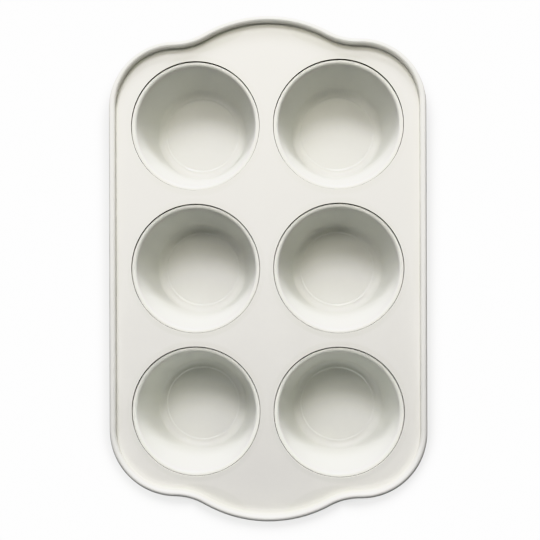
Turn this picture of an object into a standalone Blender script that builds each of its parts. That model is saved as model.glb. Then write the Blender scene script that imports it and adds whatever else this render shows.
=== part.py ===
# Six-cup jumbo muffin pan of coated sheet steel. A pressed deck carries two grip lobes, a raised
# edge that is rolled over a steel wire, and six holes with turned-down collars. Each drawn cup
# hangs in its hole by a lock seam: its lip folds over, runs down inside the collar, turns under
# the collar's edge and stands up again behind it.
# Metres, +Z up. The origin is on the ground under the pan's middle, and the pan stands on its
# six cup floors. +Y is the long way, towards row 1, and +X is towards column b.

import math

import bmesh
import bpy

MM = 0.001

# Sheets and the gap between pieces that touch
DECK_SHEET = 0.7 * MM
CUP_SHEET = 0.6 * MM
SEAT_GAP = 0.3 * MM

# Layout of the cups
CUP_COLUMNS = 2
CUP_ROWS = 3
MOUTH_DIAMETER = 89.8 * MM
COLUMN_WEB = 9.2 * MM
ROW_WEB = 9.2 * MM

# Cup, measured on its inside face; the depth runs from the deck to the ledge at the wall's foot
CUP_DEPTH = 38.0 * MM
FLOOR_RADIUS = 27.0 * MM
STEP_WIDTH = 1.0 * MM
STEP_DEPTH = 0.4 * MM
LEDGE_WIDTH = 3.0 * MM
FLOOR_BEND = 2.5 * MM
LIP_BEND = 2.4 * MM
LIP_DROP = 0.9 * MM

# Lock seam
COLLAR_INNER_BEND = 0.1 * MM
COLLAR_DEPTH = 4.5 * MM
FOLD_INNER_RADIUS = 0.3 * MM
HOOK_HEIGHT = 2.0 * MM

# Flat strips of deck between the outer collars and the raised edge
SIDE_LAND = 8.4 * MM
END_LAND = 6.8 * MM

# Outline of the deck
CORNER_RADIUS = 45.5 * MM
BLEND_RADIUS = 42.0 * MM
LOBE_REACH = 16.5 * MM

# Raised edge: a fillet, a short upright wall and the roll over the wire
WIRE_DIAMETER = 2.6 * MM
EDGE_FILLET = 1.0 * MM
EDGE_WALL = 1.7 * MM
CURL_OPENING = 0.9 * MM

# Facets
CUP_SEGMENTS = 24
CORNER_STEPS = 7
BLEND_STEPS = 3
LOBE_STEPS = 4
FILLET_STEPS = 2
ROLL_QUARTER_STEPS = 3
SMOOTH_ANGLE = math.radians(50)

# Sizes that follow from the ones above
MOUTH_RADIUS = MOUTH_DIAMETER / 2
COLUMN_PITCH = MOUTH_DIAMETER + COLUMN_WEB
ROW_PITCH = MOUTH_DIAMETER + ROW_WEB
FLOOR_LEVEL = CUP_SHEET
LEDGE_LEVEL = FLOOR_LEVEL + STEP_DEPTH
DECK_LEVEL = LEDGE_LEVEL + CUP_DEPTH
COLLAR_BEND = COLLAR_INNER_BEND + DECK_SHEET
COLLAR_EDGE_LEVEL = DECK_LEVEL - COLLAR_DEPTH
ROLL_RADIUS = WIRE_DIAMETER / 2 + SEAT_GAP + DECK_SHEET
ROLL_LEVEL = DECK_LEVEL + EDGE_FILLET + EDGE_WALL
EDGE_WIDTH = 2 * ROLL_RADIUS + EDGE_FILLET
HALF_WIDTH = COLUMN_PITCH * (CUP_COLUMNS - 1) / 2 + MOUTH_RADIUS + COLLAR_BEND + SIDE_LAND + EDGE_WIDTH
SHOULDER_Y = ROW_PITCH * (CUP_ROWS - 1) / 2 + MOUTH_RADIUS + COLLAR_BEND + END_LAND + EDGE_WIDTH
LOBE_TOP_Y = SHOULDER_Y + LOBE_REACH


def clear_scene():
    for item in list(bpy.data.objects):
        bpy.data.objects.remove(item, do_unlink=True)


def coated_steel(name, color, roughness, metallic):
    material = bpy.data.materials.new(name)
    material.use_nodes = True
    shader = material.node_tree.nodes["Principled BSDF"]
    shader.inputs["Base Color"].default_value = (*color, 1.0)
    shader.inputs["Roughness"].default_value = roughness
    shader.inputs["Metallic"].default_value = metallic
    return material


def arc(center, radius, start, end, steps):
    """Points on an arc, ends included, for angles in radians."""
    points = []
    for step in range(steps + 1):
        angle = start + (end - start) * step / steps
        points.append((center[0] + radius * math.cos(angle), center[1] + radius * math.sin(angle)))
    return points


def cup_centers():
    """Name and centre of each cup, with rows numbered from +Y and columns lettered from -X."""
    centers = {}
    for column in range(CUP_COLUMNS):
        for row in range(CUP_ROWS):
            x = (column - (CUP_COLUMNS - 1) / 2) * COLUMN_PITCH
            y = ((CUP_ROWS - 1) / 2 - row) * ROW_PITCH
            centers["cup_" + chr(ord("a") + column) + str(row + 1)] = (x, y)
    return centers


def outline_stations():
    """Points of the deck's outer edge with their outward directions, anticlockwise.

    A quarter runs from the straight side round the corner, through a hollow blend that starts
    where the corner ends, and over the lobe. The lobe's arc touches the blend and peaks on the
    centre line, which fixes its radius.
    """
    corner = (HALF_WIDTH - CORNER_RADIUS, SHOULDER_Y - CORNER_RADIUS)
    blend = (corner[0], SHOULDER_Y + BLEND_RADIUS)
    lobe_radius = (corner[0] ** 2 + LOBE_REACH ** 2) / (2 * LOBE_REACH) - BLEND_RADIUS
    lobe = (0.0, LOBE_TOP_Y - lobe_radius)
    swing = math.atan2(blend[0] - lobe[0], blend[1] - lobe[1])
    right = math.pi / 2
    quarter = []
    for step in range(CORNER_STEPS + 1):
        angle = right * step / CORNER_STEPS
        quarter.append((corner, CORNER_RADIUS, angle, 1))
    for step in range(1, BLEND_STEPS + 1):
        angle = -right - swing * step / BLEND_STEPS
        quarter.append((blend, BLEND_RADIUS, angle, -1))
    for step in range(1, LOBE_STEPS + 1):
        angle = right - swing + swing * step / LOBE_STEPS
        quarter.append((lobe, lobe_radius, angle, 1))
    stations = []
    for center, radius, angle, side in quarter:
        across, along = math.cos(angle), math.sin(angle)
        stations.append((center[0] + radius * across, center[1] + radius * along, side * across, side * along))
    stations += [(-x, y, -out_x, out_y) for x, y, out_x, out_y in reversed(stations[:-1])]
    return stations + [(-x, -y, -out_x, -out_y) for x, y, out_x, out_y in stations]


def cup_profile():
    """Inside face of a cup from its centre out, as radius and height.

    The wall is the straight line that touches both the floor bend and the lip's bend, so its
    draft follows from the mouth, the floor and the depth. The lip is a broad bend towards the
    cup and a tight fold beside the collar, and both peak on one circle.
    """
    fold_radius = FOLD_INNER_RADIUS + CUP_SHEET
    crown_radius = MOUTH_RADIUS - SEAT_GAP - fold_radius
    lip_level = DECK_LEVEL - LIP_DROP
    lip = (crown_radius, lip_level - LIP_BEND)
    fold = (crown_radius, lip_level - fold_radius)
    bend = (FLOOR_RADIUS + LEDGE_WIDTH, LEDGE_LEVEL + FLOOR_BEND)
    across, up = lip[0] - bend[0], lip[1] - bend[1]
    draft = math.atan2(across, up) - math.asin((FLOOR_BEND + LIP_BEND) / math.hypot(across, up))
    hook = (MOUTH_RADIUS + DECK_SHEET / 2, COLLAR_EDGE_LEVEL)
    hook_radius = DECK_SHEET / 2 + SEAT_GAP
    profile = [(0.0, FLOOR_LEVEL), (FLOOR_RADIUS - STEP_WIDTH, FLOOR_LEVEL), (FLOOR_RADIUS, LEDGE_LEVEL)]
    profile += arc(bend, FLOOR_BEND, -math.pi / 2, -draft, 2)
    profile += arc(lip, LIP_BEND, math.pi - draft, math.pi / 2, 2)
    profile += arc(fold, fold_radius, math.pi / 2, 0, 2)[1:]
    profile += arc(hook, hook_radius, math.pi, math.tau, 3)
    profile.append((hook[0] + hook_radius, COLLAR_EDGE_LEVEL + HOOK_HEIGHT))
    return profile


def edge_profile():
    """Upper face of the deck's raised edge, as distance inside the outer edge and height."""
    fillet = (-EDGE_WIDTH, DECK_LEVEL + EDGE_FILLET)
    roll = (-ROLL_RADIUS, ROLL_LEVEL)
    curl_end = -math.acos((DECK_SHEET + CURL_OPENING - ROLL_RADIUS) / ROLL_RADIUS)
    profile = arc(fillet, EDGE_FILLET, -math.pi / 2, 0, FILLET_STEPS)
    profile += arc(roll, ROLL_RADIUS, math.pi, 0, 2 * ROLL_QUARTER_STEPS)
    profile += arc(roll, ROLL_RADIUS, 0, curl_end, ROLL_QUARTER_STEPS)[1:]
    return [(-outward, height) for outward, height in profile]


def collar_profile():
    """Upper face of the deck from the flat down inside a collar, as radius and height."""
    bend = (MOUTH_RADIUS + COLLAR_BEND, DECK_LEVEL - COLLAR_BEND)
    return arc(bend, COLLAR_BEND, math.pi / 2, math.pi, 2) + [(MOUTH_RADIUS, COLLAR_EDGE_LEVEL)]


def add_band(mesh, sections):
    """Skin of quads through closed rings of points. Gives back the first ring's edges."""
    rings = [[mesh.verts.new(point) for point in section] for section in sections]
    for inner, outer in zip(rings, rings[1:]):
        for i in range(len(inner)):
            mesh.faces.new((inner[i - 1], inner[i], outer[i], outer[i - 1]))
    return [mesh.edges.get((rings[0][i - 1], rings[0][i])) for i in range(len(rings[0]))]


def deck_face():
    """Upper face of the deck: flat, raised edge and collars in one open skin."""
    mesh = bmesh.new()
    stations = outline_stations()
    sections = []
    for inset, height in edge_profile():
        sections.append([(x - inset * out_x, y - inset * out_y, height) for x, y, out_x, out_y in stations])
    flat_edges = add_band(mesh, sections)
    turns = [math.tau * step / CUP_SEGMENTS for step in range(CUP_SEGMENTS)]
    for x, y in cup_centers().values():
        sections = []
        for radius, height in collar_profile():
            sections.append([(x + radius * math.cos(turn), y + radius * math.sin(turn), height) for turn in turns])
        flat_edges += add_band(mesh, sections)
    bmesh.ops.triangle_fill(mesh, edges=flat_edges, use_beauty=True)
    return mesh


def cup_face():
    """Inside face of a cup, turned from its profile."""
    mesh = bmesh.new()
    verts = [mesh.verts.new((radius, 0, height)) for radius, height in cup_profile()]
    edges = [mesh.edges.new(pair) for pair in zip(verts, verts[1:])]
    bmesh.ops.spin(mesh, geom=verts + edges, cent=(0, 0, 0), axis=(0, 0, 1), angle=math.tau,
                   steps=CUP_SEGMENTS, use_merge=True)
    bmesh.ops.remove_doubles(mesh, verts=mesh.verts, dist=0.001 * MM)
    return mesh


def finish_face(mesh, name):
    """Turns the skin's normals up at its broadest flat face and makes it a mesh datablock."""
    bmesh.ops.recalc_face_normals(mesh, faces=mesh.faces)
    mesh.normal_update()
    flat = max(mesh.faces, key=lambda face: abs(face.normal.z) * face.calc_area())
    if flat.normal.z < 0:
        bmesh.ops.reverse_faces(mesh, faces=mesh.faces)
    data = bpy.data.meshes.new(name)
    mesh.to_mesh(data)
    mesh.free()
    data.shade_smooth()
    data.set_sharp_from_angle(angle=SMOOTH_ANGLE)
    return data


def add_sheet(name, data, thickness, location, parent):
    """Object whose sheet lies under the face that was modelled."""
    item = bpy.data.objects.new(name, data)
    bpy.context.collection.objects.link(item)
    item.location = location
    item.parent = parent
    sheet = item.modifiers.new("sheet", "SOLIDIFY")
    sheet.thickness = thickness
    sheet.offset = -1
    sheet.use_even_offset = True
    return item


def add_rim_wire(parent):
    """Round wire inside the rolled edge, one closed ring along the outline."""
    curve = bpy.data.curves.new("rim_wire", "CURVE")
    curve.dimensions = "3D"
    curve.bevel_depth = WIRE_DIAMETER / 2
    curve.bevel_resolution = 1
    stations = outline_stations()
    line = curve.splines.new("POLY")
    line.points.add(len(stations) - 1)
    for point, (x, y, out_x, out_y) in zip(line.points, stations):
        point.co = (x - ROLL_RADIUS * out_x, y - ROLL_RADIUS * out_y, ROLL_LEVEL, 1)
    line.use_cyclic_u = True
    line.use_smooth = True
    curve.materials.append(coated_steel("bright_wire", (0.62, 0.61, 0.59), 0.35, 1.0))
    item = bpy.data.objects.new("rim_wire", curve)
    bpy.context.collection.objects.link(item)
    item.parent = parent


def build_pan():
    clear_scene()
    pan = bpy.data.objects.new("muffin_pan", None)
    bpy.context.collection.objects.link(pan)
    deck = finish_face(deck_face(), "deck")
    deck.materials.append(coated_steel("deck_coating", (0.80, 0.79, 0.76), 0.38, 0.35))
    add_sheet("deck", deck, DECK_SHEET, (0, 0, 0), pan)
    cup = finish_face(cup_face(), "cup")
    cup.materials.append(coated_steel("cup_coating", (0.79, 0.78, 0.75), 0.36, 0.35))
    for name, (x, y) in cup_centers().items():
        add_sheet(name, cup, CUP_SHEET, (x, y, 0), pan)
    add_rim_wire(pan)


build_pan()
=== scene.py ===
import math

import bmesh
import bpy
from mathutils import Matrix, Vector


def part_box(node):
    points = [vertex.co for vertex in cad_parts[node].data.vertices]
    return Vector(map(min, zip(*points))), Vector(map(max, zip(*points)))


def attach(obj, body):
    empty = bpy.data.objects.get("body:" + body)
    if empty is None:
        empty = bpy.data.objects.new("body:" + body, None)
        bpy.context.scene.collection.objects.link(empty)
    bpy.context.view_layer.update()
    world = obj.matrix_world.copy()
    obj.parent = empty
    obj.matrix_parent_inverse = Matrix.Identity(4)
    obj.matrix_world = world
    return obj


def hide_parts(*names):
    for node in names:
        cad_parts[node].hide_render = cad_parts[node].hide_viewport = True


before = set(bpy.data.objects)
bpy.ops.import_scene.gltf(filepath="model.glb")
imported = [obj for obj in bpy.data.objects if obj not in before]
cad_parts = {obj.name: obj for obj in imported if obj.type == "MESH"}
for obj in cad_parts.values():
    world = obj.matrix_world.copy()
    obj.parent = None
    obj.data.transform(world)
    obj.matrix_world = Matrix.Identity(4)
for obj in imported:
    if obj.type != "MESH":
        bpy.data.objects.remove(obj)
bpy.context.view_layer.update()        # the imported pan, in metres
mm = 0.001
samePlace = 0.01 * mm    # points closer than this count as one
quarterTurn = math.pi / 2
smoothAngle = math.radians(40)
print("frame loaded")


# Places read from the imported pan
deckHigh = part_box("deck")[1]
cupNames = [name for name in sorted(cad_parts) if name.startswith("cup_")]
cupPlaces = {}
for cupName in cupNames:
    low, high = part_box(cupName)
    cupPlaces[cupName] = ((low.x + high.x) / 2, (low.y + high.y) / 2)


# Small tools for modelling by hand
def clearSelection():
    for item in bpy.context.selected_objects:
        item.select_set(False)


def pickPiece(piece):
    clearSelection()
    piece.select_set(True)
    bpy.context.view_layer.objects.active = piece


def selectVerts(piece, test):        # in edit mode, only what passes the test stays selected
    mesh = bmesh.from_edit_mesh(piece.data)
    for item in (*mesh.verts, *mesh.edges, *mesh.faces):
        item.select = False
    for vert in mesh.verts:
        if test(vert):
            vert.select = True
    mesh.select_flush(True)
    bmesh.update_edit_mesh(piece.data)


def extrudeBy(offset):
    bpy.ops.mesh.extrude_region_move(TRANSFORM_OT_translate={"value": offset})


def faceOutwards():                  # in edit mode, and back to object mode
    bpy.ops.mesh.select_all(action="SELECT")
    bpy.ops.mesh.normals_make_consistent(inside=False)
    bpy.ops.object.mode_set(mode="OBJECT")


def namePiece(piece, name):
    piece.name = name
    piece.data.name = name


def placeInMesh(piece):              # object back to the origin, its place into its mesh
    pickPiece(piece)
    bpy.ops.object.transform_apply(location=True, rotation=True, scale=True)


def applyAll(piece):
    pickPiece(piece)
    for modifier in list(piece.modifiers):
        bpy.ops.object.modifier_apply(modifier=modifier.name)


def thicken(piece, thickness):       # the drawn face stays, and the sheet grows behind it
    sheet = piece.modifiers.new("sheet", "SOLIDIFY")
    sheet.thickness = thickness
    sheet.offset = -1
    sheet.use_even_offset = True
    applyAll(piece)


def arcPoints(center, radius, start, end, steps):
    points = []
    for step in range(steps + 1):
        angle = start + (end - start) * step / steps
        points.append((center[0] + radius * math.cos(angle), center[1] + radius * math.sin(angle)))
    return points


def turnRings(profile, place, segments):       # a ring, drawn out along points of radius and height
    clearSelection()
    x, y = place
    radius, height = profile[0]
    bpy.ops.mesh.primitive_circle_add(vertices=segments, radius=radius, fill_type="NOTHING",
                                      location=(x, y, height))
    piece = bpy.context.active_object
    bpy.ops.object.mode_set(mode="EDIT")
    bpy.ops.mesh.select_all(action="SELECT")
    for nextRadius, nextHeight in profile[1:]:
        extrudeBy((0, 0, nextHeight - height))
        share = nextRadius / radius
        bpy.ops.transform.resize(value=(share, share, 1), center_override=(x, y, nextHeight))
        radius, height = nextRadius, nextHeight
    return piece


# Deck: flat with collars, and the raised edge that is rolled over the wire
deckShape = {
    "sheet": 0.7 * mm,
    "cornerRadius": 45.5 * mm,
    "blendRadius": 42.0 * mm,
    "lobeReach": 16.5 * mm,
    "edgeFillet": 0.35 * mm,
    "edgeRise": 2.7 * mm,            # from the deck to the middle of the roll
    "undercutSteps": 1,              # the roll hangs over the deck by so many of its steps
    "rollRadius": 2.3 * mm,
    "rollSegments": 48,
    "rollOpenSteps": 12,
    "filletSteps": 6,
    "cornerSteps": 30,
    "blendSteps": 12,
    "lobeSteps": 16,
    "flatMargin": 1.3 * mm,
    "mouthRadius": 44.9 * mm,
    "collarCorner": 0.15 * mm,
    "collarCornerSteps": 6,
    "cornerMargin": 0.3 * mm,
    "collarDepth": 4.5 * mm,
    "collarSegments": 128,
}
rollLevel = deckHigh.z - deckShape["rollRadius"]
deckTop = rollLevel - deckShape["edgeRise"]
rollX = deckHigh.x - deckShape["rollRadius"]
cornerCenter = (deckHigh.x - deckShape["cornerRadius"],
                deckHigh.y - deckShape["lobeReach"] - deckShape["cornerRadius"])
blendCenter = (cornerCenter[0], deckHigh.y - deckShape["lobeReach"] + deckShape["blendRadius"])
lobeRadius = ((cornerCenter[0] ** 2 + deckShape["lobeReach"] ** 2) / (2 * deckShape["lobeReach"])
              - deckShape["blendRadius"])
lobeCenter = (0, deckHigh.y - lobeRadius)
lobeSwing = math.atan2(blendCenter[0], blendCenter[1] - lobeCenter[1])


def addSection(radius, segments):    # a standing ring in the roll, at the middle of the long side
    clearSelection()
    bpy.ops.mesh.primitive_circle_add(vertices=segments, radius=radius, fill_type="NOTHING",
                                      location=(rollX, 0, rollLevel), rotation=(quarterTurn, 0, 0))
    section = bpy.context.active_object
    placeInMesh(section)
    bpy.ops.object.mode_set(mode="EDIT")
    return section


def spinLevel(center, angle, steps):           # the selection goes round an upright axis
    bpy.ops.mesh.spin(steps=steps, angle=angle, center=(*center, 0), axis=(0, 0, 1))


def followOutline():                 # carries the selected section on to the lobe's tip
    extrudeBy((0, cornerCenter[1], 0))
    spinLevel(cornerCenter, -quarterTurn, deckShape["cornerSteps"])
    spinLevel(blendCenter, lobeSwing, deckShape["blendSteps"])
    spinLevel(lobeCenter, -lobeSwing, deckShape["lobeSteps"])
    bpy.ops.object.mode_set(mode="OBJECT")


def mirrorBothWays(piece):
    mirror = piece.modifiers.new("halves", "MIRROR")
    mirror.use_axis = (True, True, False)
    mirror.merge_threshold = samePlace
    applyAll(piece)


def modelEdge():                     # roll first, then the wall, the fillet and a strip of flat
    roll, fillet = deckShape["rollRadius"], deckShape["edgeFillet"]
    edge = addSection(roll, deckShape["rollSegments"])
    bpy.ops.mesh.select_mode(type="VERT")
    stepAngle = math.tau / deckShape["rollSegments"]
    openAngle = stepAngle * (deckShape["rollOpenSteps"] - 0.5)
    lean = -stepAngle * deckShape["undercutSteps"]
    wallStart = Vector((rollX - roll * math.cos(lean), 0, rollLevel + roll * math.sin(lean)))
    drop = wallStart.z - deckTop - fillet * (1 - math.sin(lean))

    def liesInOpening(vert):
        turn = math.atan2(vert.co.z - rollLevel, vert.co.x - rollX) % math.tau
        return math.pi - lean + stepAngle / 2 < turn < math.pi + openAngle
    selectVerts(edge, liesInOpening)
    bpy.ops.mesh.delete(type="VERT")
    selectVerts(edge, lambda vert: (vert.co - wallStart).length < samePlace)
    extrudeBy((-drop * math.tan(lean), 0, -drop))
    filletX = wallStart.x - drop * math.tan(lean) - fillet * math.cos(lean)
    bpy.ops.mesh.spin(steps=deckShape["filletSteps"], angle=lean - quarterTurn, axis=(0, 1, 0),
                      center=(filletX, 0, deckTop + fillet))
    extrudeBy((-deckShape["flatMargin"], 0, 0))
    bpy.ops.mesh.select_all(action="SELECT")
    followOutline()
    mirrorBothWays(edge)
    return edge


def modelCollar(place):              # its corner is bevelled once the sheet has its thickness
    mouth, margin = deckShape["mouthRadius"], deckShape["cornerMargin"]
    profile = [(mouth + deckShape["flatMargin"], deckTop), (mouth + margin, deckTop)]
    profile += [(mouth, deckTop), (mouth, deckTop - margin)]
    profile += [(mouth, deckTop - deckShape["collarDepth"])]
    collar = turnRings(profile, place, deckShape["collarSegments"])
    bpy.ops.object.mode_set(mode="OBJECT")
    placeInMesh(collar)
    return collar


def liesOnDeck(vert):
    return abs(vert.co.z - deckTop) < samePlace


def liesOnCorner(vert):              # where the deck turns down into a collar
    reach = min(math.hypot(vert.co.x - x, vert.co.y - y) for x, y in cupPlaces.values())
    return liesOnDeck(vert) and abs(reach - deckShape["mouthRadius"]) < samePlace


def modelDeck():
    deck = modelEdge()
    collars = [modelCollar(place) for place in cupPlaces.values()]
    pickPiece(deck)
    for collar in collars:
        collar.select_set(True)
    bpy.ops.object.join()
    bpy.ops.object.mode_set(mode="EDIT")
    selectVerts(deck, lambda vert: vert.is_boundary and liesOnDeck(vert))
    bpy.ops.mesh.fill(use_beauty=True)
    faceOutwards()
    widest = max(deck.data.polygons, key=lambda face: face.area * abs(face.normal.z))
    if widest.normal.z < 0:
        deck.data.flip_normals()
    thicken(deck, deckShape["sheet"])
    bpy.ops.object.mode_set(mode="EDIT")
    selectVerts(deck, liesOnCorner)
    bpy.ops.mesh.bevel(offset=deckShape["collarCorner"], segments=deckShape["collarCornerSteps"],
                       affect="EDGES")
    bpy.ops.object.mode_set(mode="OBJECT")
    bpy.ops.object.shade_smooth_by_angle(angle=smoothAngle)
    namePiece(deck, "deck_sheet")
    return deck


deck = modelDeck()
print("deck modelled,", len(deck.data.polygons), "faces")


# Cups, drawn from one disc each, with the lip that locks into the collar
cupShape = {
    "sheet": 0.6 * mm,
    "seat": 0.33 * mm,
    "offCenter": 0.30 * mm,          # each cup sits against the near side of its collar
    "hubRadius": 4.0 * mm,           # first ring of the floor, closed to its middle
    "floorRadius": 27.0 * mm,
    "stepWidth": 0.8 * mm,
    "stepDepth": 0.34 * mm,
    "stepSoft": 0.22 * mm,
    "softRises": (0.1, 0.42),        # how far the step has risen at its corner and next to it
    "ledgeWidth": 0.75 * mm,
    "floorBend": 5.5 * mm,
    "floorBendSteps": 14,
    "lipDrop": 0.85 * mm,
    "lipBend": 2.4 * mm,
    "lipBendSteps": 12,
    "lipFold": 0.4 * mm,
    "lipFoldSteps": 3,
    "lipFlat": 0.45 * mm,
    "hookGap": 0.3 * mm,
    "hookHeight": 2.0 * mm,
    "hookSteps": 8,
    "segments": 128,
}
floorTop = cupShape["sheet"]


def stepProfile(ledge):              # the small rounded step at the rim of the floor
    outer, soft = cupShape["floorRadius"], cupShape["stepSoft"]
    inner = outer - cupShape["stepWidth"]
    start, rise = (soft * share for share in cupShape["softRises"])
    profile = [(inner - 2 * soft, floorTop), (inner - soft, floorTop)]
    profile += [(inner, floorTop + start), (inner + soft, floorTop + rise)]
    profile += [(outer - soft, ledge - rise), (outer, ledge - start)]
    profile += [(outer + soft, ledge), (outer + 2 * soft, ledge)]
    return profile


def cupProfile():                    # inside face, from the middle of the floor out to the hook
    mouth, halfDeck = deckShape["mouthRadius"], deckShape["sheet"] / 2
    floorBend, lipBend, lipFold = cupShape["floorBend"], cupShape["lipBend"], cupShape["lipFold"]
    ledge = floorTop + cupShape["stepDepth"]
    lipTop = deckTop - cupShape["lipDrop"]
    foldX = mouth - cupShape["seat"] - lipFold
    crown = (foldX - cupShape["lipFlat"], lipTop - lipBend)
    fold = (foldX, lipTop - lipFold)
    bend = (cupShape["floorRadius"] + cupShape["ledgeWidth"], ledge + floorBend)
    across, up = crown[0] - bend[0], crown[1] - bend[1]
    draft = math.atan2(across, up) - math.asin((floorBend + lipBend) / math.hypot(across, up))
    hookRadius = halfDeck + cupShape["hookGap"]
    hook = (mouth + halfDeck, deckTop - deckShape["collarDepth"])
    profile = [(cupShape["hubRadius"], floorTop)] + stepProfile(ledge)
    profile += arcPoints(bend, floorBend, -quarterTurn, -draft, cupShape["floorBendSteps"])
    profile += arcPoints(crown, lipBend, math.pi - draft, quarterTurn, cupShape["lipBendSteps"])
    profile += arcPoints(fold, lipFold, quarterTurn, 0, cupShape["lipFoldSteps"])
    profile += [(mouth - cupShape["seat"], hook[1] + cupShape["hookGap"])]
    profile += arcPoints(hook, hookRadius, math.pi, math.tau, cupShape["hookSteps"])
    profile += [(hook[0] + hookRadius, hook[1] + cupShape["hookHeight"])]
    return profile


def modelCup():
    cup = turnRings(cupProfile(), (0, 0), cupShape["segments"])
    selectVerts(cup, lambda vert: vert.co.xy.length < cupShape["hubRadius"] + samePlace)
    bpy.ops.mesh.extrude_region_move()
    bpy.ops.mesh.merge(type="CENTER")
    faceOutwards()
    placeInMesh(cup)
    floorFace = min(cup.data.polygons, key=lambda face: face.center.xy.length)
    if floorFace.normal.z < 0:
        cup.data.flip_normals()
    thicken(cup, cupShape["sheet"])
    bpy.ops.object.shade_smooth_by_angle(angle=smoothAngle)
    return cup


def copyCup(cup, place, name):
    pickPiece(cup)
    bpy.ops.object.duplicate()
    copy = bpy.context.active_object
    copy.location = (place[0], place[1] - cupShape["offCenter"], 0)
    placeInMesh(copy)
    namePiece(copy, name)
    return copy


firstCup = modelCup()
cups = {name: copyCup(firstCup, place, name.replace("cup_", "drawn_cup_"))
        for name, place in cupPlaces.items()}
bpy.data.objects.remove(firstCup)
print("cups modelled")


# Wire inside the roll
wireShape = {"radius": 1.3 * mm, "segments": 16}


def modelWire():
    wire = addSection(wireShape["radius"], wireShape["segments"])
    bpy.ops.mesh.select_all(action="SELECT")
    followOutline()
    mirrorBothWays(wire)
    bpy.ops.object.mode_set(mode="EDIT")
    faceOutwards()
    bpy.ops.object.shade_smooth()
    namePiece(wire, "edge_wire")
    return wire


wire = modelWire()
print("wire modelled")


# Small tools for node trees
def feed(tree, socket, value):       # another node's output is linked, anything else is set
    if isinstance(value, bpy.types.NodeSocket):
        tree.links.new(value, socket)
    elif value is not None:
        socket.default_value = value


def addMath(tree, operation, first, second=None):
    node = tree.nodes.new("ShaderNodeMath")
    node.operation = operation
    feed(tree, node.inputs[0], first)
    feed(tree, node.inputs[1], second)
    return node.outputs[0]


def addVectorMath(tree, operation, first, second=None):
    node = tree.nodes.new("ShaderNodeVectorMath")
    node.operation = operation
    feed(tree, node.inputs[0], first)
    feed(tree, node.inputs[1], second)
    return node.outputs["Value"] if operation == "LENGTH" else node.outputs["Vector"]


def addScale(tree, vector, factor):  # a vector or a colour times a value
    node = tree.nodes.new("ShaderNodeVectorMath")
    node.operation = "SCALE"
    feed(tree, node.inputs[0], vector)
    feed(tree, node.inputs["Scale"], factor)
    return node.outputs["Vector"]


def addRange(tree, value, fromLow, fromHigh, toLow, toHigh):
    node = tree.nodes.new("ShaderNodeMapRange")
    node.interpolation_type = "SMOOTHSTEP"
    for label, setting in (("Value", value), ("From Min", fromLow), ("From Max", fromHigh),
                           ("To Min", toLow), ("To Max", toHigh)):
        feed(tree, node.inputs[label], setting)
    return node.outputs["Result"]


def addTint(tree, amount, first, second):      # mixes two colours, each a socket or a colour
    node = tree.nodes.new("ShaderNodeMix")
    node.data_type = "RGBA"
    for index, value in ((0, amount), (6, first), (7, second)):
        feed(tree, node.inputs[index], value)
    return node.outputs[2]


def addNoise(tree, place, scale, detail):
    node = tree.nodes.new("ShaderNodeTexNoise")
    feed(tree, node.inputs["Vector"], place)
    feed(tree, node.inputs["Scale"], scale)
    node.inputs["Detail"].default_value = detail
    return node.outputs["Fac"]


def addSplit(tree, vector):          # the outputs X, Y and Z
    node = tree.nodes.new("ShaderNodeSeparateXYZ")
    feed(tree, node.inputs[0], vector)
    return node.outputs


# Effects that several materials share: each group takes a place and its own values
effectShape = {
    "haloAcross": 0.4,               # strength of a mouth's halo across the pan, one along it
    "haloFocus": 2.0,
    "sprayBroadDetail": 2.0,
    "sprayFineDetail": 3.0,
    "sprayFineDensity": 7.3,         # times the broad clouds' density
    "sprayFineShare": 0.3,
    "grainDetail": 2.0,
    "grainStrength": 1.0,
}


def newGroup(name, settings, outputs):
    group = bpy.data.node_groups.new(name, "ShaderNodeTree")
    group.interface.new_socket("Place", in_out="INPUT", socket_type="NodeSocketVector")
    for label in settings:
        group.interface.new_socket(label, in_out="INPUT", socket_type="NodeSocketFloat")
    for label in outputs:
        kind = "NodeSocketVector" if label == "Normal" else "NodeSocketFloat"
        group.interface.new_socket(label, in_out="OUTPUT", socket_type=kind)
    entry, result = group.nodes.new("NodeGroupInput"), group.nodes.new("NodeGroupOutput")
    return group, entry.outputs, result.inputs


def buildMouthHalo():                # a mask round each mouth, stronger along the pan than across
    group, entry, result = newGroup("mouthHalo", ("Pitch", "Inner Radius", "Outer Radius"), ("Mask",))
    scaled = addScale(group, entry["Place"], addMath(group, "DIVIDE", 1.0, entry["Pitch"]))
    flat = addVectorMath(group, "MULTIPLY", scaled, (1, 1, 0))
    shifted = addVectorMath(group, "ADD", flat, (0, 0.5, 0))     # rows on whole pitches, columns on half
    local = addVectorMath(group, "SUBTRACT", addVectorMath(group, "FRACTION", shifted), (0.5, 0.5, 0))
    reach = addMath(group, "MULTIPLY", addVectorMath(group, "LENGTH", local), entry["Pitch"])
    fade = addRange(group, reach, entry["Inner Radius"], entry["Outer Radius"], 1.0, 0.0)
    along = addMath(group, "ABSOLUTE", addSplit(group, addVectorMath(group, "NORMALIZE", local))["Y"])
    along = addMath(group, "POWER", along, effectShape["haloFocus"])
    across = effectShape["haloAcross"]
    weight = addMath(group, "ADD", addMath(group, "MULTIPLY", along, 1 - across), across)
    feed(group, result["Mask"], addMath(group, "MULTIPLY", fade, weight))
    return group


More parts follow.
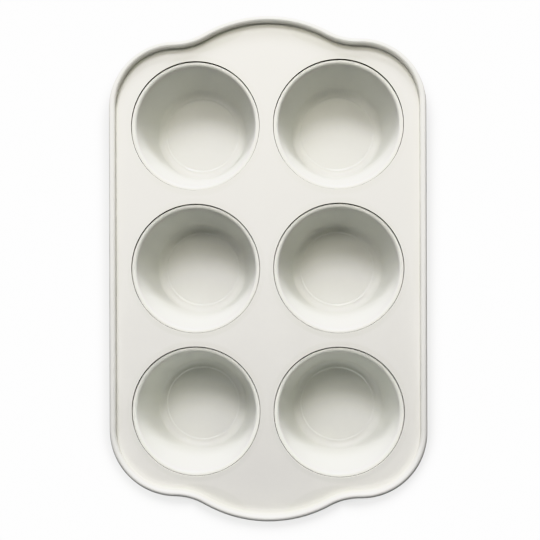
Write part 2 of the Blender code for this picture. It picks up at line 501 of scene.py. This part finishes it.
def buildSprayTone():                # slow unevenness of a sprayed coat, around one
    group, entry, result = newGroup("sprayTone", ("Density", "Depth"), ("Tone", "Cloud"))
    fineShare = effectShape["sprayFineShare"]
    fineDensity = addMath(group, "MULTIPLY", entry["Density"], effectShape["sprayFineDensity"])
    broad = addNoise(group, entry["Place"], entry["Density"], effectShape["sprayBroadDetail"])
    fine = addNoise(group, entry["Place"], fineDensity, effectShape["sprayFineDetail"])
    both = addMath(group, "ADD", addMath(group, "MULTIPLY", broad, 1 - fineShare),
                   addMath(group, "MULTIPLY", fine, fineShare))
    swing = addMath(group, "MULTIPLY", addMath(group, "SUBTRACT", both, 0.5), 2.0)
    tone = addMath(group, "ADD", addMath(group, "MULTIPLY", swing, entry["Depth"]), 1.0)
    feed(group, result["Tone"], tone)
    feed(group, result["Cloud"], both)
    return group


def buildCoatGrain():                # pebbled skin of a baked coat, as a normal and a value
    group, entry, result = newGroup("coatGrain", ("Density", "Height"), ("Normal", "Grain"))
    grain = addNoise(group, entry["Place"], entry["Density"], effectShape["grainDetail"])
    bump = group.nodes.new("ShaderNodeBump")
    bump.inputs["Strength"].default_value = effectShape["grainStrength"]
    feed(group, bump.inputs["Distance"], entry["Height"])
    feed(group, bump.inputs["Height"], grain)
    feed(group, result["Normal"], bump.outputs["Normal"])
    feed(group, result["Grain"], grain)
    return group


def buildBandMask():                 # one between two heights, soft at both ends
    group, entry, result = newGroup("bandMask", ("Low", "High", "Softness"), ("Mask",))
    level = addSplit(group, entry["Place"])["Z"]
    below = addMath(group, "SUBTRACT", entry["Low"], entry["Softness"])
    above = addMath(group, "ADD", entry["High"], entry["Softness"])
    rise = addRange(group, level, below, entry["Low"], 0.0, 1.0)
    fall = addRange(group, level, entry["High"], above, 1.0, 0.0)
    feed(group, result["Mask"], addMath(group, "MULTIPLY", rise, fall))
    return group


mouthHalo = buildMouthHalo()
sprayTone = buildSprayTone()
coatGrain = buildCoatGrain()
bandMask = buildBandMask()


# Finishes: the sprayed coat of the sheets, and the drawn steel of the wire
def newMaterial(name):
    material = bpy.data.materials.new(name)
    material.use_nodes = True
    tree = material.node_tree
    return material, tree, tree.nodes["Principled BSDF"].inputs


def objectPlace(tree):
    return tree.nodes.new("ShaderNodeTexCoord").outputs["Object"]


def addGroup(tree, group, place, **settings):
    node = tree.nodes.new("ShaderNodeGroup")
    node.node_tree = group
    feed(tree, node.inputs["Place"], place)
    for label, value in settings.items():
        node.inputs[label.replace("_", " ")].default_value = value
    return node.outputs


coatShape = {
    "pitch": 99.0 * mm,              # between the mouths
    "roughness": 0.42,
    "cloudRoughness": 0.12,          # how far the clouds and the grain swing it
    "grainRoughness": 0.08,
    "crestShine": 0.08,           # what the crest bands and the seam and step bands take off it
    "seamStepShine": 0.31,
    "specular": 0.3,
    "mottleDensity": 38.0,
    "mottleDepth": 0.035,
    "grainDensity": 2600.0,
    "grainHeight": 0.008 * mm,
}


def coatMaterial(name, colors, pressedMask, glossHighlightMask, seamShadeStepHighlightMask):
    material, tree, shader = newMaterial(name)
    place = objectPlace(tree)
    spray = addGroup(tree, sprayTone, place, Density=coatShape["mottleDensity"],
                     Depth=coatShape["mottleDepth"])
    grain = addGroup(tree, coatGrain, place, Density=coatShape["grainDensity"],
                     Height=coatShape["grainHeight"])
    pressed = pressedMask(tree, place)
    glossAndHighlight = glossHighlightMask(tree, place)
    seamShadeStepHighlight = seamShadeStepHighlightMask(tree, place)
    # a second tone: a darker ring round each mouth on the deck, the walls on the cups
    color = addTint(tree, pressed, colors["plain"], colors["pressed"])
    # the crest bands are painted lighter, a painted highlight; their lower roughness is real gloss
    color = addTint(tree, glossAndHighlight, color, colors["glossAndHighlight"])
    # the deck's seams are painted dark, a painted shade, and the cups' floor steps lighter, a painted
    # highlight
    color = addTint(tree, seamShadeStepHighlight, color, colors["seamShadeStepHighlight"])
    feed(tree, shader["Base Color"], addScale(tree, color, spray["Tone"]))

    def swing(value, width):
        return addMath(tree, "MULTIPLY", addMath(tree, "SUBTRACT", value, 0.5), width)
    uneven = addMath(tree, "ADD", swing(spray["Cloud"], coatShape["cloudRoughness"]),
                     swing(grain["Grain"], coatShape["grainRoughness"]))
    rough = addMath(tree, "ADD", uneven, coatShape["roughness"])
    # the lower roughness on these bands is real gloss
    for mask, shine in ((glossAndHighlight, coatShape["crestShine"]), (seamShadeStepHighlight, coatShape["seamStepShine"])):
        rough = addMath(tree, "SUBTRACT", rough, addMath(tree, "MULTIPLY", mask, shine))
    feed(tree, shader["Roughness"], rough)
    feed(tree, shader["Specular IOR Level"], coatShape["specular"])
    feed(tree, shader["Normal"], grain["Normal"])
    return material


def addHalo(tree, place, inner, outer):
    return addGroup(tree, mouthHalo, place, Pitch=coatShape["pitch"],
                    Inner_Radius=inner, Outer_Radius=outer)["Mask"]


def addBand(tree, place, low, high, softness):
    return addGroup(tree, bandMask, place, Low=low, High=high, Softness=softness)["Mask"]


deckFinish = {
    "plain": (0.77, 0.771, 0.71, 1),
    # a darker ring round each mouth
    "pressed": (0.735, 0.738, 0.67, 1),
    # painted highlight on the crest of the roll
    "glossAndHighlight": (0.79, 0.797, 0.74, 1),
    # painted shade inside the seams
    "seamShadeStepHighlight": (0.30, 0.29, 0.27, 1),
    "pressedRing": (47.4 * mm, 49.6 * mm),     # it fades between these radii
    "crestBandDepth": 0.5 * mm,                 # on the crest of the roll
    "crestBandSoftness": 1.2 * mm,
    "seamShadeRing": (0.1 * mm, 0.3 * mm),          # outside the mouth, where it fades
    "seamShadeDepth": (0.5 * mm, 10 * mm),          # below the deck
    "seamStepSoftness": 0.25 * mm,
}


# a darker ring round each mouth, stronger along the pan than across
def deckMouthRing(tree, place):
    return addHalo(tree, place, *deckFinish["pressedRing"])


# painted highlight: the crest of the roll is painted lighter for the bright line of light along it; its
# lower roughness is real gloss
def deckCrestHighlight(tree, place):
    low = deckHigh.z - deckFinish["crestBandDepth"]
    return addBand(tree, place, low, deckHigh.z + mm, deckFinish["crestBandSoftness"])


def deckSeamShade(tree, place):           # painted shade: the deck is painted dark inside the seams, where shade falls in the gap between collar and lip
    inner, outer = (deckShape["mouthRadius"] + gap for gap in deckFinish["seamShadeRing"])
    start, end = deckFinish["seamShadeDepth"]
    halo = addHalo(tree, place, inner, outer)
    band = addBand(tree, place, deckTop - end, deckTop - start, deckFinish["seamStepSoftness"])
    return addMath(tree, "MULTIPLY", halo, band)


cupFinish = {
    "plain": (0.685, 0.688, 0.65, 1),
    "pressed": (0.685, 0.693, 0.645, 1),
    # painted highlight on the crest of the lip
    "glossAndHighlight": (0.73, 0.735, 0.675, 1),
    # painted highlight on the small step round the floor
    "seamShadeStepHighlight": (0.72, 0.727, 0.69, 1),
    "pressedLow": 5 * mm,
    "pressedDepth": 7 * mm,                    # its upper end, below the deck
    "pressedSoftness": 5 * mm,
    "crestBandDepth": 0.25 * mm,                # on the crest of the lip
    "crestBandSoftness": 0.5 * mm,
    "stepHighlightMargin": 0.05 * mm,                   # inside both ends of the step
    "seamStepSoftness": 0.04 * mm,
}


def cupWallTone(tree, place):         # the walls, tinted a little greener than floor and lip
    high = deckTop - cupFinish["pressedDepth"]
    return addBand(tree, place, cupFinish["pressedLow"], high, cupFinish["pressedSoftness"])


# painted highlight: the crest of the lip is painted lighter; its lower roughness is real gloss
def lipCrestHighlight(tree, place):
    lip = deckTop - cupShape["lipDrop"]
    low = lip - cupFinish["crestBandDepth"]
    return addBand(tree, place, low, lip + mm, cupFinish["crestBandSoftness"])


def cupStepHighlight(tree, place):            # painted highlight: the small step round the floor is painted lighter for the glint on it; its lower roughness is real gloss
    low = floorTop + cupFinish["stepHighlightMargin"]
    high = floorTop + cupShape["stepDepth"] - cupFinish["stepHighlightMargin"]
    return addBand(tree, place, low, high, cupFinish["seamStepSoftness"])


wireFinish = {
    "color": (0.55, 0.54, 0.52, 1),
    "cloudDensity": 300.0,
    "cloudDepth": 0.08,
    "roughness": 0.25,
    "cloudRoughness": 0.2,
}


def wireMaterial(name):
    material, tree, shader = newMaterial(name)
    spray = addGroup(tree, sprayTone, objectPlace(tree), Density=wireFinish["cloudDensity"],
                     Depth=wireFinish["cloudDepth"])
    steel = tree.nodes.new("ShaderNodeRGB").outputs[0]
    steel.default_value = wireFinish["color"]
    uneven = addMath(tree, "MULTIPLY", spray["Cloud"], wireFinish["cloudRoughness"])
    feed(tree, shader["Base Color"], addScale(tree, steel, spray["Tone"]))
    feed(tree, shader["Roughness"], addMath(tree, "ADD", uneven, wireFinish["roughness"]))
    feed(tree, shader["Metallic"], 1.0)
    return material


deckCoat = coatMaterial("deckCoat", deckFinish, deckMouthRing, deckCrestHighlight, deckSeamShade)
cupCoat = coatMaterial("cupCoat", cupFinish, cupWallTone, lipCrestHighlight, cupStepHighlight)
drawnWire = wireMaterial("drawnWire")


def dress(piece, material, node):
    piece.data.materials.clear()
    piece.data.materials.append(material)
    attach(piece, "root")
    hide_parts(node)


dress(deck, deckCoat, "deck")
dress(wire, drawnWire, "rim_wire")
for name, cup in cups.items():
    dress(cup, cupCoat, name)
print("finishes assigned")


# Paper floor, which glows for the camera; near the pan the glow is cut back to a painted soft shadow
paperShape = {
    "size": 6.0,
    "color": (0.80, 0.80, 0.80, 1),
    "bounceColor": (0.03, 0.03, 0.03, 1),      # what the paper gives back to the pan
    "roughness": 0.9,
    "glow": (0.12, 5.0),                       # under the pan, and far from it
    "glowColor": (1, 1, 1, 1),
    # stretches the painted shadow a little further out at the near end and the left
    "glowCenter": (-2.5 * mm, -6 * mm, 0),
    "glowRange": (6 * mm, 22 * mm),            # where the painted shadow fades out, as distances from the pan's outline
    "glowCurve": 3.0,
}


def distanceFrom(tree, place, box, radius):    # outside a rounded box in the floor's plane
    past = addVectorMath(tree, "SUBTRACT", place, (*box, 0))
    outside = addVectorMath(tree, "MAXIMUM", past, (0, 0, 0))
    return addMath(tree, "SUBTRACT", addVectorMath(tree, "LENGTH", outside), radius)


def glowWithPaintedShadow(tree, seen):           # painted shadow: nearly no glow under the pan, all of it a little way outside
    moved = addVectorMath(tree, "SUBTRACT", objectPlace(tree), paperShape["glowCenter"])
    side = addVectorMath(tree, "ABSOLUTE", moved)
    body = distanceFrom(tree, side, cornerCenter, deckShape["cornerRadius"])
    lobe = distanceFrom(tree, side, lobeCenter, lobeRadius)
    share = addRange(tree, addMath(tree, "MINIMUM", body, lobe), *paperShape["glowRange"], 0.0, 1.0)
    share = addMath(tree, "POWER", share, paperShape["glowCurve"])
    low, high = paperShape["glow"]
    glow = addMath(tree, "ADD", addMath(tree, "MULTIPLY", share, high - low), low)
    return addMath(tree, "MULTIPLY", seen, glow)


def addFloor():
    clearSelection()
    bpy.ops.mesh.primitive_plane_add(size=paperShape["size"], location=(0, 0, 0))
    floor = bpy.context.active_object
    namePiece(floor, "studio_floor")
    paper, tree, shader = newMaterial("floorPaper")
    seen = tree.nodes.new("ShaderNodeLightPath").outputs["Is Camera Ray"]
    color = addTint(tree, seen, paperShape["bounceColor"], paperShape["color"])
    feed(tree, shader["Base Color"], color)
    feed(tree, shader["Emission Strength"], glowWithPaintedShadow(tree, seen))
    feed(tree, shader["Emission Color"], paperShape["glowColor"])
    feed(tree, shader["Roughness"], paperShape["roughness"])
    feed(tree, shader["Specular IOR Level"], 0.0)
    floor.data.materials.append(paper)
    return floor


# Lights. Panels have a turn and a height in degrees, a distance and a size in metres,
# and a power in watts. They all face the aim
studio = {
    "aim": (0, 0, 0.04),
    "panelColor": (1.0, 0.982, 1.055),
    "lampColor": (1.03, 0.985, 0.85),
    "warmColor": (1.0, 0.98, 0.84),
    "mildColor": (0.97, 1.0, 0.95),
    "bouncePanel": (0, -90, 0.6, 0.6, 2.6),
    "sunTilt": 12,                   # degrees towards the far end
    "sunAngle": 50,
    "sunStrength": 3.9,
    "airColor": (0.97, 1.0, 0.87, 1),
    "airStrength": 0.02,
    "skyColor": (1, 1, 1, 1),
    "skyStrength": 8.0,
}
softPanels = {
    "lowPanel": (0, 20, 2.2, 0.5, 43.2),
    "highPanel": (0, 45, 2.2, 0.5, 22.6),
    "farLeftPanel": (-22, 40, 2.2, 0.5, 9.0),
    "highLeftPanel": (-48, 58, 1.0, 0.25, 0.72),
    "leftPanel": (-72, 41.5, 0.8, 0.3, 0.14),
}
lampPanels = {"nearPanel": (0, 58, 0.6, 0.18, 1.05)}
deckPanels = {"rimPanel": (180, 25, 2.2, 0.5, 6.0)}
cupPanels = {"rightPanel": (72, 41.5, 0.8, 0.3, 0.68)}
endPanels = {"frontPanel": (180, 18, 0.22, 0.1, 0.078)}


def addPanel(name, turn, height, reach, size, power):
    lamp = bpy.data.lights.new(name, "AREA")
    lamp.shape = "SQUARE"
    lamp.size = size
    lamp.energy = power
    panel = bpy.data.objects.new(name, lamp)
    bpy.context.collection.objects.link(panel)
    turn, height = math.radians(turn), math.radians(height)
    level = math.cos(height)
    outward = Vector((math.sin(turn) * level, math.cos(turn) * level, math.sin(height)))
    panel.location = Vector(studio["aim"]) + outward * reach
    panel.rotation_euler = (-outward).to_track_quat("-Z", "Y").to_euler()
    return panel


def addPanels(settings, color):
    panels = [addPanel(name, *setting) for name, setting in settings.items()]
    for panel in panels:
        panel.data.color = color
    return panels


def keepOff(panels, floor):          # these light everything except the paper
    noPaper = bpy.data.collections.new("noPaper")
    noPaper.objects.link(floor)
    noPaper.collection_objects[0].light_linking.link_state = "EXCLUDE"
    for panel in panels:
        panel.light_linking.receiver_collection = noPaper
    bounce = addPanel("bouncePanel", *studio["bouncePanel"])
    bounce.light_linking.receiver_collection = noPaper
    bounce.light_linking.blocker_collection = noPaper      # it shines up through the paper


def keepOn(panels, pieces, name):    # these light the given pieces alone
    lit = bpy.data.collections.new(name)
    for piece in pieces:
        lit.objects.link(piece)
    for panel in panels:
        panel.light_linking.receiver_collection = lit


def addSun(floor):                   # lights the paper alone, so the pan keeps its own light
    lamp = bpy.data.lights.new("floorSun", "SUN")
    lamp.angle = math.radians(studio["sunAngle"])
    lamp.energy = studio["sunStrength"]
    sun = bpy.data.objects.new("floorSun", lamp)
    bpy.context.collection.objects.link(sun)
    sun.rotation_euler.x = -math.radians(studio["sunTilt"])
    keepOn([sun], [floor], "paperOnly")


def addWorld():                      # a dim air for the pan, and a bright sky for the camera
    world = bpy.data.worlds.new("studioAir")
    bpy.context.scene.world = world
    world.use_nodes = True
    tree = world.node_tree
    air = tree.nodes["Background"].inputs
    seen = tree.nodes.new("ShaderNodeLightPath").outputs["Is Camera Ray"]
    strength = addRange(tree, seen, 0.0, 1.0, studio["airStrength"], studio["skyStrength"])
    feed(tree, air["Color"], addTint(tree, seen, studio["airColor"], studio["skyColor"]))
    feed(tree, air["Strength"], strength)


cameraView = {                       # fitted to the photograph's circles
    "place": (30.9 * mm, -1.9 * mm, deckTop + 551.3 * mm),
    "turn": (0.07, 2.97, -0.16),
    "sensorWidth": 36,
    "focalPixels": 800,
    "framePixels": 540,
}


def addCamera():
    lens = bpy.data.cameras.new("photoCamera")
    lens.sensor_width = cameraView["sensorWidth"]
    lens.lens = lens.sensor_width * cameraView["focalPixels"] / cameraView["framePixels"]
    camera = bpy.data.objects.new("photoCamera", lens)
    bpy.context.collection.objects.link(camera)
    camera.location = cameraView["place"]
    camera.rotation_euler = [math.radians(angle) for angle in cameraView["turn"]]
    bpy.context.scene.camera = camera


floor = addFloor()
farPanels = addPanels(softPanels, studio["panelColor"]) + addPanels(lampPanels, studio["lampColor"])
keepOff(farPanels, floor)
keepOn(addPanels(deckPanels, studio["panelColor"]), [deck], "deckOnly")
keepOn(addPanels(cupPanels, studio["warmColor"]), cups.values(), "cupsOnly")
keepOn(addPanels(endPanels, studio["mildColor"]), cups.values(), "cupsToo")
addSun(floor)
addWorld()
addCamera()
bpy.context.scene.view_settings.view_transform = "Khronos PBR Neutral"
print("studio set")
